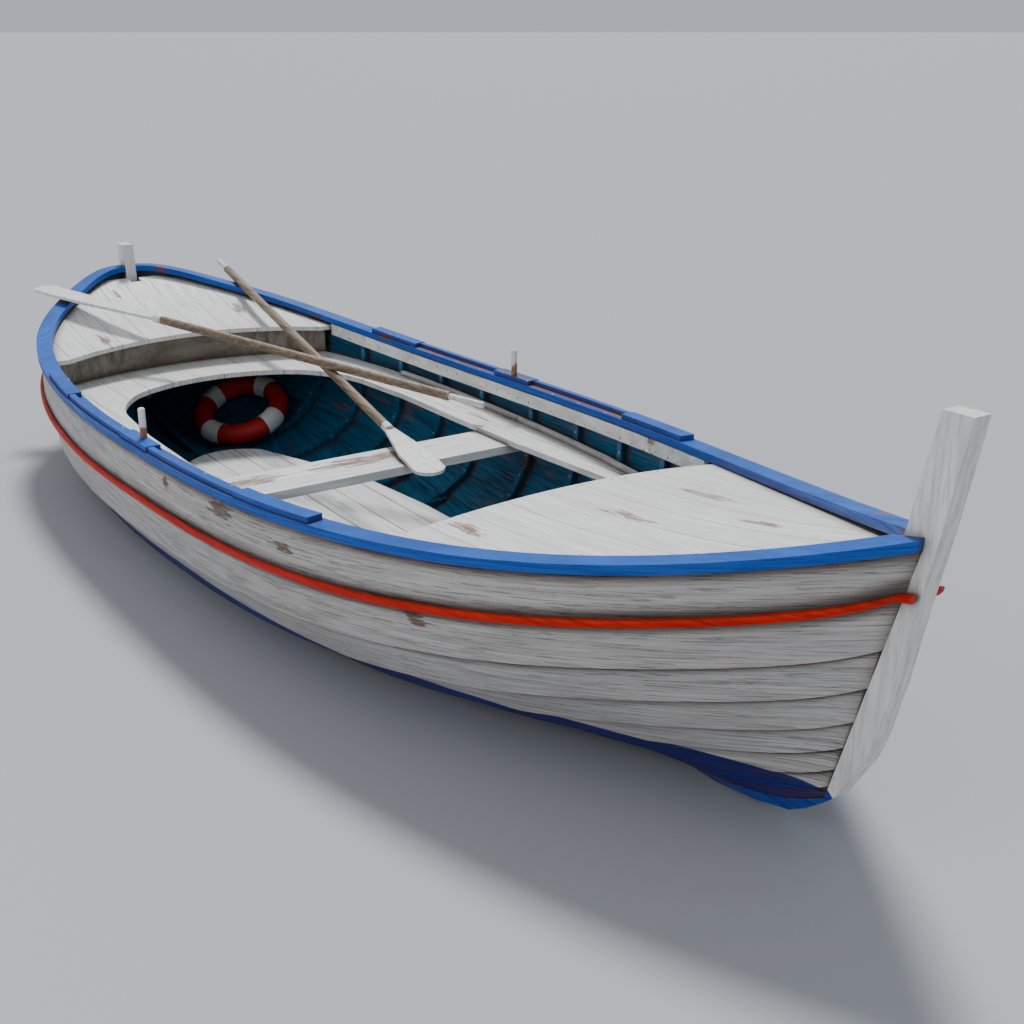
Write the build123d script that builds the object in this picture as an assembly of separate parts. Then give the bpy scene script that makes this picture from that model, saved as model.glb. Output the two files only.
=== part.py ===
from build123d import *
from math import cos, hypot, radians, sin
import os

os.makedirs("parts", exist_ok=True)

# Wooden rowing boat, double ended, clinker planked. Millimetres, +X to the bow, +Y to port, +Z up.
# It is drawn with zero height on the keel's underside and moved at the end: the origin comes
# amidships on the water's surface, at the depth where the empty boat floats.
BOX_CENTRE_X = -15.0
FLOAT_Z = 120.0

# Fits
GAP = 0.4
LAP_GAP = 0.9
RABBET_GAP = 0.95
RAIL_GAP = 0.8
RIB_GAP = 0.8
PLANK_SEAM = 0.8

# Hull stations from stern to bow: rabbet on the keel, inner face of the planking at the sheer,
# then how far out and up the belly of the section reaches and how full it is.
HULL_ROWS = [
    # foot_x, foot_y, foot_z, sheer_x, sheer_y, sheer_z, belly_out, belly_up, fullness
    (-2262, 8, 150, -2335, 8, 764, 0.50, 0.50, 1.00),
    (-2150, 12, 118, -2268, 166, 748, 0.54, 0.40, 1.00),
    (-1990, 18, 88, -2163, 293, 715, 0.70, 0.28, 1.00),
    (-1740, 27, 64, -1955, 462, 661, 0.88, 0.14, 1.15),
    (-1420, 34, 52, -1629, 609, 607, 0.99, 0.04, 1.35),
    (-1020, 35, 50, -1067, 704, 568, 1.03, 0.00, 1.52),
    (-218, 35, 50, -218, 725, 572, 1.03, 0.02, 1.56),
    (587, 35, 61, 584, 680, 600, 1.04, 0.10, 1.36),
    (1200, 33, 98, 1242, 545, 653, 1.01, 0.18, 1.12),
    (1640, 26, 138, 1759, 342, 741, 0.88, 0.30, 1.00),
    (1905, 17, 168, 2087, 152, 829, 0.68, 0.42, 1.00),
    (2095, 8, 248, 2280, 12, 896, 0.50, 0.50, 1.00),
]

# Strakes: upper edges as shares of the girth, amidships and at the ends, garboard first
SEAMS_MIDSHIP = [0.0, 0.120, 0.240, 0.365, 0.485, 0.605, 0.735, 0.875, 1.0]
SEAMS_ENDS = [0.0, 0.075, 0.155, 0.250, 0.360, 0.500, 0.650, 0.850, 1.0]
STRAKES = 8
PLANK_FOOT = 14.0
PLANK_TOP = 10.0
PLANK_ENDS = 8.0
LAP = 18.0
LAP_EDGE = 10.0
LAP_EDGE_ENDS = 4.0
LOFT_STATIONS = 21

# Backbone
POST_HALF = 24.0
KEEL_HALF = 35.0
RABBET_COVER = 14.0
KEEL_BOTTOM = [
    # x, z from stern to stem
    (-2302, 60), (-2150, 36), (-1990, 20), (-1740, 6), (-1420, 0), (250, 0), (600, 6), (900, 22),
    (1200, 47), (1450, 75), (1665, 106), (1895, 140), (1998, 167), (2046, 196), (2093, 234), (2119, 259),
]
KEEL_TOP = [
    # x, z from stem to stern
    (2066, 300), (1905, 196), (1640, 162), (1200, 122), (587, 84), (-1020, 72), (-1420, 74), (-1740, 86),
    (-1990, 112), (-2150, 144), (-2222, 172),
]
KEEL_PLAN = [
    # x, half_breadth
    (-2400, 24), (-1990, 26), (-1420, KEEL_HALF), (587, KEEL_HALF), (1640, 28), (2150, POST_HALF),
]
STEM_PROFILE = [
    # x, z up the aft edge, then down the fore edge
    (2119, 259), (2066, 300), (2238, 935), (2287, 1173), (2358, 1173), (2336, 1045), (2315, 930),
    (2276, 740), (2246, 580), (2213, 440), (2188, 375), (2150, 311),
]
STERNPOST_PROFILE = [
    # x, z up the fore edge, then the head
    (-2302, 60), (-2222, 172), (-2295, 764), (-2306, 886), (-2388, 886),
]

# Rail and what stands on it, across measured outboard from the planking's inner face
RAIL_IN = -38.0
RAIL_OUT = 24.0
RAIL_THICK = 24.0
RAIL_FORE_END = 2280.0
STRIP_IN = -6.0
STRIP_OUT = 14.0
STRIP_HIGH = 15.0
PAD_IN = -30.0
PAD_OUT = 18.0
PAD_HIGH = 17.0
PADS = [
    # name, from_x, to_x
    ("aft", -1200, -880),
    ("thole", -300, -70),
    ("fore", 520, 875),
]
THOLE_X = -179.0
THOLE_ACROSS = -18.0
THOLE_RADIUS = 11.0
THOLE_TENON = 9.0
THOLE_FREE = 96.0
THOLE_DEEP = 30.0

# Half-round moulding on the top strake's lower edge
MOULDING_GAP = 0.8
MOULDING_ENDS_OUT = 5.0
MOULDING_PAST_RABBET = 34.0
MOULDING = [
    # up, out
    (-6, 0), (16, 0), (15, 8), (10, 13), (0, 13), (-5, 8),
]

# Ribs
RIB_DEEP = 24.0
RIB_HALF = 13.0
RIB_STATIONS = [-1560, -1280, -1000, -700, -400, -60, 230, 500, 760, 1020, 1300, 1560]
OPEN_FROM = -1500.0
OPEN_TO = 1060.0
INWALE_THICK = 18.0
INWALE_DEEP = 48.0

# Decks, benches, thwart and floor
DECK_DROP = 8.0
DECK_THICK = 18.0
DECK_PLANK = 120.0
STERN_ARC_X = -454.0
STERN_DECK_RADIUS = 1166.0
RISER_RADIUS = 1230.0
RISER_THICK = 18.0
FOREDECK_EDGE_X = 1080.0
FOREDECK_CAMBER = 44.0
BENCH_TOP = 459.0
BENCH_THICK = 20.0
BENCH_PLANK = 118.0
BENCH_AFT_X = -1760.0
BENCH_JOIN_X = -985.0
SIDE_BENCH_TO = 880.0
SIDE_BENCH_SPLIT = 606.0
BATTEN_WIDE = 18.0
BATTEN_HIGH = 16.0
THWART_FROM = -152.0
THWART_TO = 63.0
THWART_THICK = 30.0
FLOOR_TOP = 134.0
FLOOR_THICK = 18.0
FLOOR_PLANK = 120.0
FLOOR_TIMBERS = [-1000, -400, 230, 760]
FLOOR_OUTLINE = [
    # x, half_breadth
    (-1296, 160), (-1037, 248), (-663, 352), (-300, 385), (200, 385), (500, 340), (700, 270), (860, 190),
]
BENCH_CORNER = [
    # x, half_breadth of the rounded inner edge at the quarter
    (-1285, 345), (-1160, 440), (-960, 495),
]
BENCH_INNER = [
    # x, half_breadth of the inner edge further on
    (-700, 515), (100, 515), (589, 543), (1150, 600),
]
BENCH_STERN_X = -1398.0
STRINGER_LOW = 380.0
STRINGER_WIDE = 20.0
BEAM_FROM = 20.0
BEAM_WIDE = 36.0
BEAM_DEEP = 44.0

# Oars, drawn along their own axis from the grip's end
GRIP_RADIUS = 11.5
GRIP_LONG = 150.0
LOOM_RADIUS = 17.5
BLADE_HALF = 55.0
BLADE_THICK = 12.0
OARS = [
    # name, grip_end, blade_end, blade_long
    ("oar_upper", (-160, 557, 527.7), (-2214, -441, 748.2), 722),
    ("oar_lower", (-2360, 457, 763.8), (180, 140, 434), 430),
]

# Life ring and the bands round it
RING_RADIUS = 172.0
RING_TUBE = 45.0
RING_AT = (-1672, 235, 210.4)
RING_RISE = 64.7
RING_TURN = -48.5
BAND_THICK = 2.0
BAND_HALF_ANGLE = 13.0
BAND_ANGLES = [20, 110, 200, 290]


# Natural spline through a column of the station table
def spline(knots, values):
    n = len(knots)
    step = [knots[i + 1] - knots[i] for i in range(n - 1)]
    slope = [(values[i + 1] - values[i]) / step[i] for i in range(n - 1)]
    diag = [1.0] * n
    right = [0.0] * n
    upper = [0.0] * n
    for i in range(1, n - 1):
        diag[i] = 2 * (step[i - 1] + step[i]) - step[i - 1] * upper[i - 1]
        upper[i] = step[i] / diag[i]
        right[i] = (6 * (slope[i] - slope[i - 1]) - step[i - 1] * right[i - 1]) / diag[i]
    bend = [0.0] * n
    for i in range(n - 2, 0, -1):
        bend[i] = right[i] - upper[i] * bend[i + 1]

    def value(at):
        i = max(k for k in range(n - 1) if k == 0 or knots[k] <= at)
        t = at - knots[i]
        h = step[i]
        first = slope[i] - h * (2 * bend[i] + bend[i + 1]) / 6
        return values[i] + t * (first + t * (bend[i] / 2 + t * (bend[i + 1] - bend[i]) / (6 * h)))

    return value


def row_spacing(a, b):
    foot = hypot(b[0] - a[0], b[1] - a[1], b[2] - a[2])
    sheer = hypot(b[3] - a[3], b[4] - a[4], b[5] - a[5])
    return (foot + sheer) / 2


knots = [0.0]
for aft_row, fore_row in zip(HULL_ROWS, HULL_ROWS[1:]):
    knots.append(knots[-1] + row_spacing(aft_row, fore_row))
knots = [knot / knots[-1] for knot in knots]
columns = [spline(knots, [row[k] for row in HULL_ROWS]) for k in range(9)]
section_store = {}


# One section of the moulded surface: points up the girth and the girth lengths to them
def section(s):
    if s not in section_store:
        fx, fy, fz, sx, sy, sz, out, up, full = [column(s) for column in columns]
        belly = (fx + out * (sx - fx), fy + out * (sy - fy), fz + up * (sz - fz))
        points = []
        lengths = [0.0]
        for k in range(61):
            t = k / 60
            a, b, c = (1 - t) ** 2, 2 * full * t * (1 - t), t * t
            total = a + b + c
            foot_sheer = zip((fx, fy, fz), belly, (sx, sy, sz))
            points.append(tuple((a * p + b * q + c * r) / total for p, q, r in foot_sheer))
            if k:
                p, q = points[-2], points[-1]
                lengths.append(lengths[-1] + hypot(q[0] - p[0], q[1] - p[1], q[2] - p[2]))
        section_store[s] = (points, lengths)
    return section_store[s]


def girth(s):
    return section(s)[1][-1]


def hull(s, share):
    points, lengths = section(s)
    reach = share * lengths[-1]
    i = max(k for k in range(60) if k == 0 or lengths[k] <= reach)
    t = (reach - lengths[i]) / (lengths[i + 1] - lengths[i])
    return tuple(p + t * (q - p) for p, q in zip(points[i], points[i + 1]))


# Outward direction; at the two posts it runs straight across so that the ends stay in one plane
def outward(s, share):
    ds = 0.004
    s0, s1 = max(0.0, s - ds), min(1.0, s + ds)
    a, b = hull(s0, share), hull(s1, share)
    along = [q - p for p, q in zip(a, b)]
    a, b = hull(s, max(0.0, share - 0.02)), hull(s, min(1.0, share + 0.02))
    girthwise = [q - p for p, q in zip(a, b)]
    n = (
        girthwise[1] * along[2] - girthwise[2] * along[1],
        girthwise[2] * along[0] - girthwise[0] * along[2],
        girthwise[0] * along[1] - girthwise[1] * along[0],
    )
    size = hypot(*n)
    n = tuple(v / size for v in n)
    if s in (0.0, 1.0):
        return (0.0, 1 / max(0.4, abs(n[1])), 0.0)
    return n


def off_hull(s, share, offset):
    p = hull(s, share)
    n = outward(s, share)
    return tuple(a + offset * b for a, b in zip(p, n))


def middle_weight(s):
    return 1 - abs(2 * s - 1) ** 2.5


def seam(s, i):
    w = middle_weight(s)
    return SEAMS_ENDS[i] + w * (SEAMS_MIDSHIP[i] - SEAMS_ENDS[i])


def solve(function, target, low=0.0, high=1.0):
    for _ in range(40):
        middle = (low + high) / 2
        if function(middle) < target:
            low = middle
        else:
            high = middle
    return (low + high) / 2


def at_x(x, share):
    return solve(lambda s: hull(s, share)[0], x)


def stations(count, s_from=0.0, s_to=1.0):
    return [s_from + (s_to - s_from) * k / (count - 1) for k in range(count)]


def loft_through(sections):
    wires = [Wire.make_polygon([Vector(*p) for p in points], close=True) for points in sections]
    return Solid.make_loft(wires)


def both_sides(solid):
    return [solid, solid.mirror(Plane.XZ)]


# Clinker lap: offsets of one strake's section at a station, worked up from the garboard
def lap_offsets(s):
    ease = min(1.0, 6 * min(s, 1 - s))
    foot = PLANK_ENDS + ease * (PLANK_FOOT - PLANK_ENDS)
    top = PLANK_ENDS * 0.8 + ease * (PLANK_TOP - PLANK_ENDS * 0.8)
    edge = LAP_EDGE_ENDS + ease * (LAP_EDGE - LAP_EDGE_ENDS)
    size = girth(s)
    rows = []
    for i in range(STRAKES):
        low = seam(s, i)
        high = seam(s, i + 1)
        lap = 0.0 if i == 0 else min(LAP, 0.3 * (high - low) * size) / size
        if i == 0:
            land, outer = 0.0, foot
        else:
            under = rows[-1]
            share = (low - lap - under["low"]) / (under["high"] - under["low"])
            land = under["outer"] + share * (top - under["outer"]) + LAP_GAP
            outer = land + edge
        rows.append({"seam": low, "low": low - lap, "high": high, "land": land, "outer": outer, "top": top})
    return rows


def strake_section(s, i):
    row = lap_offsets(s)[i]
    inner_low = row["seam"] + (LAP_GAP if i else RABBET_GAP) / girth(s)
    if i == 0:
        shares = [(inner_low, 0.0), (row["high"], 0.0), (row["high"], row["top"]), (inner_low, row["outer"])]
    else:
        shares = [
            (inner_low, 0.0),
            (row["high"], 0.0),
            (row["high"], row["top"]),
            (row["low"], row["outer"]),
            (row["low"], row["land"]),
            (inner_low, row["top"] + LAP_GAP),
        ]
    return [off_hull(s, share, offset) for share, offset in shares]


parts = {}
for i in range(STRAKES):
    strake = loft_through([strake_section(s, i) for s in stations(LOFT_STATIONS)])
    parts[f"strake_{i + 1}"] = both_sides(strake)


# Room for the planking, taken out of keel and posts to leave the rabbet
def rabbet_section(s):
    inner = [off_hull(s, seam(s, i), -RABBET_GAP) for i in range(STRAKES + 1)]
    outer = [off_hull(s, seam(s, i), PLANK_FOOT + RABBET_COVER) for i in range(STRAKES, -1, -1)]
    return inner + outer


rabbet_room = both_sides(loft_through([rabbet_section(s) for s in stations(LOFT_STATIONS)]))


def side_profile(points, half):
    face = make_face(Polyline(*[(x, z) for x, z in points], close=True))
    return extrude(Plane.XZ * face, amount=half, both=True)


keel_plan = KEEL_PLAN + [(x, -y) for x, y in reversed(KEEL_PLAN)]
keel_breadth = extrude(make_face(Polyline(*keel_plan, close=True)), 400)
keel = side_profile(KEEL_BOTTOM + KEEL_TOP, 60) & keel_breadth
backbone = {
    "keel": keel,
    "stem": side_profile(STEM_PROFILE, POST_HALF),
    "sternpost": side_profile(STERNPOST_PROFILE, POST_HALF),
}
for name, body in backbone.items():
    for room in rabbet_room:
        body = body - room
    parts[name] = body.solids()


# Pieces that run along the sheer: across is measured outboard, high from the sheer upwards
def sheer_section(s, across_in, across_out, low, high):
    x, y, z = hull(s, 1.0)
    s0, s1 = max(0.0, s - 0.004), min(1.0, s + 0.004)
    a, b = hull(s0, 1.0), hull(s1, 1.0)
    size = hypot(b[0] - a[0], b[1] - a[1])
    nx, ny = -(b[1] - a[1]) / size, (b[0] - a[0]) / size
    corners = [(across_in, low), (across_out, low), (across_out, high), (across_in, high)]
    return [(x + nx * across, y + ny * across, z + up) for across, up in corners]


def along_sheer(x_from, x_to, count, across_in, across_out, low, high):
    s_from, s_to = at_x(x_from, 1.0), at_x(x_to, 1.0)
    sections = [sheer_section(s, across_in, across_out, low, high) for s in stations(count, s_from, s_to)]
    return loft_through(sections)


rail_top = RAIL_GAP + RAIL_THICK
rail_stations = stations(LOFT_STATIONS)
rail_sections = [sheer_section(s, RAIL_IN, RAIL_OUT, RAIL_GAP, rail_top) for s in rail_stations]
beside_posts = Pos(RAIL_FORE_END - 3000, 1000 + POST_HALF + GAP, 500) * Box(6000, 2000, 2000)
rail = (loft_through(rail_sections) & beside_posts).solids()[0]
strip_spans = [(PADS[0][2] + 2, PADS[1][1] - 2), (PADS[1][2] + 2, PADS[2][1] - 2)]
on_rail = rail_top + GAP
strips = [along_sheer(a, b, 7, STRIP_IN, STRIP_OUT, on_rail, rail_top + STRIP_HIGH) for a, b in strip_spans]
pads = [along_sheer(a, b, 4, PAD_IN, PAD_OUT, on_rail, rail_top + PAD_HIGH) for _, a, b in PADS]
inwale_in = -RIB_DEEP - INWALE_THICK
inwale = along_sheer(OPEN_FROM + 20, OPEN_TO - 20, 13, inwale_in, -RIB_DEEP - 2, -INWALE_DEEP, 0.0)

thole_s = at_x(THOLE_X, 1.0)
thole_foot = sheer_section(thole_s, THOLE_ACROSS, THOLE_ACROSS, rail_top, rail_top)[0]
pad_top = thole_foot[2] + PAD_HIGH
up_from_base = (Align.CENTER, Align.CENTER, Align.MIN)
thole_at = Pos(thole_foot[0], thole_foot[1], pad_top + GAP + 0.4)
tenon_at = Pos(thole_foot[0], thole_foot[1], pad_top - THOLE_DEEP)
thole_pin = thole_at * Cylinder(THOLE_RADIUS, THOLE_FREE, align=up_from_base)
thole_pin = chamfer(thole_pin.edges().group_by(Axis.Z)[-1], 3.0)
thole_pin = thole_pin + tenon_at * Cylinder(THOLE_TENON, THOLE_DEEP + 10, align=up_from_base)
thole_hole = tenon_at * Cylinder(THOLE_TENON + GAP, 200, align=up_from_base)
print("thole pin axis", thole_foot[0] - BOX_CENTRE_X, thole_foot[1], "pad top", pad_top - FLOAT_Z)
rail = (rail - thole_hole).solids()[0]
pads[1] = (pads[1] - thole_hole).solids()[0]
parts["rail"] = both_sides(rail)
parts["rail_strip"] = [solid for strip in strips for solid in both_sides(strip)]
parts["rail_pads"] = [solid for pad in pads for solid in both_sides(pad)]
parts["thole_pin_port"] = [thole_pin.solids()[0]]
parts["thole_pin_starboard"] = [thole_pin.mirror(Plane.XZ).solids()[0]]
parts["inwale"] = both_sides(inwale)


def moulding_section(s):
    row = lap_offsets(s)[STRAKES - 1]
    size = girth(s)
    base = row["outer"] + MOULDING_GAP + MOULDING_ENDS_OUT * (1 - min(1.0, 5 * min(s, 1 - s)))
    return [off_hull(s, row["low"] + up / size, base + out) for up, out in MOULDING]


# The moulding runs on over the stem's side, past the ends of the planks
moulding_sections = [moulding_section(s) for s in stations(LOFT_STATIONS)]
past_rabbet = (MOULDING_PAST_RABBET, 0.0, 0.2 * MOULDING_PAST_RABBET)
moulding_end = [tuple(a + b for a, b in zip(point, past_rabbet)) for point in moulding_sections[-1]]
moulding = loft_through(moulding_sections) + loft_through([moulding_sections[-1], moulding_end])
parts["rubbing_moulding"] = both_sides(moulding.solids()[0])


# Ribs bent to the planking, one pair a station, bevelled to the run of the hull
def rib_line(x, inset, shares):
    line = []
    for k in shares:
        s = at_x(x, seam(0.5, k))
        for _ in range(3):
            s = at_x(x, seam(s, k))
        p = hull(s, seam(s, k))
        line.append((x, p[1], p[2]))
    moved = []
    for k, p in enumerate(line):
        a, b = line[max(0, k - 1)], line[min(len(line) - 1, k + 1)]
        size = hypot(b[1] - a[1], b[2] - a[2])
        ny, nz = -(b[2] - a[2]) / size, (b[1] - a[1]) / size
        moved.append((x, p[1] + inset * ny, p[2] + inset * nz))
    return moved


def rib(x):
    open_side = OPEN_FROM < x < OPEN_TO
    faces = []
    for end_x in (x - RIB_HALF, x + RIB_HALF):
        shares = list(range(0, STRAKES + 1))
        outer = rib_line(end_x, RIB_GAP, shares)
        inner = rib_line(end_x, RIB_DEEP, shares)
        if not open_side:
            outer = outer[:-1]
            inner = inner[:-1]
        else:
            outer[-1] = (end_x, outer[-1][1], outer[-1][2] - 2)
            inner[-1] = (end_x, inner[-1][1], outer[-1][2])
        outer[0] = (end_x, outer[0][1] + 8, outer[0][2] + 3)
        inner[0] = (end_x, outer[0][1], outer[0][2] + RIB_DEEP)
        faces.append(outer + inner[::-1])
    wires = [Wire.make_polygon([Vector(*p) for p in face], close=True) for face in faces]
    return Solid.make_loft(wires, True)


parts["ribs"] = [solid for x in RIB_STATIONS for solid in both_sides(rib(x))]


# Level outline inside the planking at one height, half breadths from stern to bow
def level_line(z, inset, x_from, x_to, count=24):
    line = []
    for k in range(count):
        x = x_from + (x_to - x_from) * k / (count - 1)
        low, high = 0.0, 1.0
        for _ in range(30):
            share = (low + high) / 2
            if hull(at_x(x, share), share)[2] < z:
                low = share
            else:
                high = share
        line.append((x, hull(at_x(x, low), low)[1] - inset))
    return line


def closed_outline(line):
    return make_face(Polyline(*line, *[(x, -y) for x, y in reversed(line)], close=True))


def prism(face, low, high):
    return Pos(0, 0, low) * extrude(face, high - low)


def split_planks(body, width, span, centred=True):
    count = int(span / width) + 1
    offset = width / 2 if centred else 0.0
    for k in range(-count, count + 1):
        body = body - Pos(0, k * width + offset, 500) * Box(6000, PLANK_SEAM, 1400)
    return [solid for solid in body.solids() if solid.volume > 4000]


def sheer_z(x):
    return hull(at_x(x, 1.0), 1.0)[2]


# Half breadths that clear the planking through a deck's whole thickness
def deck_outline(x_from, x_to, count):
    line = []
    for k in range(count):
        x = x_from + (x_to - x_from) * k / (count - 1)
        shares = (0.95, 0.965, 0.98, 1.0)
        line.append((x, min(hull(at_x(x, share), share)[1] for share in shares) - 1.6))
    return line


# Stern deck follows the sheer, its fore edge hollowed to an arc
deck_xs = [-2290, -2200, -2100, -1980, -1860, -1720, -1600, -1480]
deck_band = [(x, sheer_z(x) - DECK_DROP) for x in deck_xs]
deck_under = [(x, z - DECK_THICK) for x, z in reversed(deck_band)]
stern_outline = deck_outline(-2270, -1480, 16)
stern_deck = side_profile(deck_band + deck_under, 800) & prism(closed_outline(stern_outline), 400, 900)
stern_deck = stern_deck - prism(Pos(STERN_ARC_X, 0) * Circle(STERN_DECK_RADIUS), 300, 1000)
stern_deck = stern_deck - Pos(-2300, 0, 700) * Box(140, 2 * POST_HALF + 2 * GAP, 600)
parts["stern_deck"] = split_planks(stern_deck, DECK_PLANK, 700)

# Riser board under the stern deck's edge
riser_ring = Pos(STERN_ARC_X, 0) * (Circle(RISER_RADIUS + RISER_THICK) - Circle(RISER_RADIUS))
riser_sides = closed_outline(level_line(BENCH_TOP, RIB_DEEP + 6, -1740, -1440, 10))
above_deck = [(x, z - DECK_THICK - GAP) for x, z in deck_band] + [(-1480, 1000), (-2290, 1000)]
riser = prism(riser_ring, BENCH_TOP + GAP, 700) & prism(riser_sides, 400, 800)
parts["stern_riser"] = (riser - side_profile(above_deck, 800)).solids()


# Foredeck: cambered, planked fore and aft, straight aft edge
def foredeck_curve(x):
    half = hull(at_x(x, 1.0), 1.0)[1] + 30
    return half, sheer_z(x) - DECK_DROP, FOREDECK_CAMBER * (half / 620) ** 2


foredeck_faces = []
for x in (FOREDECK_EDGE_X - 20, 1420, 1800, 2230):
    half, side_z, crown = foredeck_curve(x)
    top = ThreePointArc((x, -half, side_z), (x, 0, side_z + crown), (x, half, side_z))
    under_z = side_z - DECK_THICK
    under = ThreePointArc((x, half, under_z), (x, 0, under_z + crown), (x, -half, under_z))
    port = Line((x, half, side_z), (x, half, under_z))
    starboard = Line((x, -half, under_z), (x, -half, side_z))
    foredeck_faces.append(Wire([top, port, under, starboard]))
fore_outline = deck_outline(FOREDECK_EDGE_X, 2200, 18)
foredeck = Solid.make_loft(foredeck_faces) & prism(closed_outline(fore_outline), 400, 1100)
parts["foredeck"] = split_planks(foredeck, DECK_PLANK, 700)

# Benches: short planks round the stern, two boards a side further on
corner_starboard = [(x, -y) for x, y in reversed(BENCH_CORNER)]
inner_starboard = [(x, -y) for x, y in reversed(BENCH_INNER)]
opening_edges = [
    ThreePointArc(corner_starboard[-1], (BENCH_STERN_X, 0), BENCH_CORNER[0]),
    ThreePointArc(*BENCH_CORNER),
    Polyline(BENCH_CORNER[-1], *BENCH_INNER),
    Line(BENCH_INNER[-1], inner_starboard[0]),
    Polyline(*inner_starboard, corner_starboard[0]),
    ThreePointArc(*corner_starboard),
]
opening = make_face(opening_edges)
bench_low = BENCH_TOP - BENCH_THICK
bench_sides = level_line(bench_low, RIB_DEEP + 6, BENCH_AFT_X, SIDE_BENCH_TO, 30)
bench = prism(closed_outline(bench_sides) - opening, bench_low, BENCH_TOP)
stern_long = BENCH_JOIN_X - BENCH_AFT_X + 20
side_long = SIDE_BENCH_TO - BENCH_JOIN_X - 2
stern_zone = Pos(BENCH_JOIN_X - stern_long / 2, 0, 450) * Box(stern_long, 1800, 200)
side_zone = Pos(SIDE_BENCH_TO - side_long / 2, 0, 450) * Box(side_long, 1800, 200)
parts["stern_bench"] = split_planks(bench & stern_zone, BENCH_PLANK, 700)
side_bench = bench & side_zone
for side in (1, -1):
    side_bench = side_bench - Pos(0, side * SIDE_BENCH_SPLIT, 450) * Box(4000, 2 * PLANK_SEAM, 200)
parts["side_benches"] = [solid for solid in side_bench.solids() if solid.volume > 4000]


# Long strips lying level against the ribs
def level_strip(z_low, z_high, inset, wide, x_from, x_to, at_height):
    outer = level_line(at_height, inset, x_from, x_to, 9)
    inner = [(x, y - wide) for x, y in reversed(outer)]
    return prism(make_face(Polyline(*outer, *inner, close=True)), z_low, z_high)


off_ribs = RIB_DEEP + 8
batten_top = BENCH_TOP + BATTEN_HIGH
batten = level_strip(BENCH_TOP + GAP, batten_top, off_ribs, BATTEN_WIDE, -960, 640, bench_low)
stringer_top = bench_low - GAP
stringer = level_strip(STRINGER_LOW, stringer_top, off_ribs, STRINGER_WIDE, -1480, 840, STRINGER_LOW + 2)
thwart_low = bench_low - GAP - THWART_THICK
thwart_middle = (THWART_FROM + THWART_TO) / 2
thwart_wide = THWART_TO - THWART_FROM
thwart_room = Pos(thwart_middle, 0, thwart_low + 100 - GAP) * Box(thwart_wide + 2 * GAP, 1800, 200)
stringer = (stringer - thwart_room).solids()
parts["bench_batten"] = both_sides(batten.solids()[0])
parts["bench_stringer"] = [copy for solid in stringer for copy in both_sides(solid)]
thwart_sides = closed_outline(level_line(thwart_low, RIB_DEEP + 4, THWART_FROM, THWART_TO, 4))
parts["thwart"] = prism(thwart_sides, thwart_low, thwart_low + THWART_THICK).solids()

# Floorboards on floor timbers
floor_edges = [
    ThreePointArc((-1296, -160), (-1372, 0), (-1296, 160)),
    Polyline(*FLOOR_OUTLINE),
    Line(FLOOR_OUTLINE[-1], (FLOOR_OUTLINE[-1][0], -FLOOR_OUTLINE[-1][1])),
    Polyline(*[(x, -y) for x, y in reversed(FLOOR_OUTLINE)]),
]
floor = prism(make_face(floor_edges), FLOOR_TOP - FLOOR_THICK, FLOOR_TOP)
parts["floorboards"] = split_planks(floor, FLOOR_PLANK, 420)


def floor_timber(x):
    top = FLOOR_TOP - FLOOR_THICK - GAP
    faces = []
    for end_x in (x + RIB_HALF + 0.6, x + RIB_HALF + 30.6):
        line = [p for p in rib_line(end_x, RIB_GAP, range(0, STRAKES + 1)) if p[2] < top - 8]
        keel_side = KEEL_HALF + 4
        ramp = [(end_x, keel_side, line[0][2] + 4)] + [p for p in line[1:] if p[1] > keel_side]
        limit = level_line(top - 6, 4, end_x, end_x + 1, 2)[0][1]
        ramp.append((end_x, limit, top - 2))
        side = [(end_x, 0, 100), (end_x, keel_side, 100)] + ramp + [(end_x, limit, top), (end_x, 0, top)]
        faces.append(side)
    count = min(len(face) for face in faces)
    faces = [face for face in faces if len(face) == count]
    wires = [Wire.make_polygon([Vector(*p) for p in face], close=True) for face in faces]
    return Solid.make_loft(wires, True)


half_timbers = [floor_timber(x) for x in FLOOR_TIMBERS]
parts["floor_timbers"] = [Part((half + half.mirror(Plane.XZ)).wrapped).solids()[0] for half in half_timbers]

# Oar: grip, loom and flat blade in one piece
def oar(grip_end, blade_end, blade_long):
    run = Vector(*blade_end) - Vector(*grip_end)
    long = run.length
    neck = long - blade_long
    level = Vector(0, 0, 1).cross(run).normalized()
    shaft_turn = Plane(origin=(0, 0, 0), z_dir=(1, 0, 0))
    grip = extrude(shaft_turn * Circle(GRIP_RADIUS), GRIP_LONG + 10)
    loom = Plane(origin=(GRIP_LONG, 0, 0), z_dir=(1, 0, 0)) * Circle(LOOM_RADIUS)
    loom = extrude(loom, neck - GRIP_LONG + 40)
    tip = long - BLADE_HALF * 0.6
    shoulder = (neck + 0.25 * blade_long, 30)
    upper = [(neck, 12), shoulder, (neck + 0.6 * blade_long, BLADE_HALF), (tip, BLADE_HALF)]
    lower = [(x, -y) for x, y in reversed(upper)]
    outline = [Polyline(*upper), ThreePointArc(upper[-1], (long, 0), lower[0]), Polyline(*lower)]
    outline.append(Line(lower[-1], upper[0]))
    blade = Pos(0, 0, -BLADE_THICK / 2) * extrude(make_face(outline), BLADE_THICK)
    whole = grip + loom + blade
    return Plane(origin=grip_end, x_dir=run, z_dir=run.cross(level)).location * whole


for name, grip_end, blade_end, blade_long in OARS:
    parts[name] = oar(grip_end, blade_end, blade_long).solids()

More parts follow.
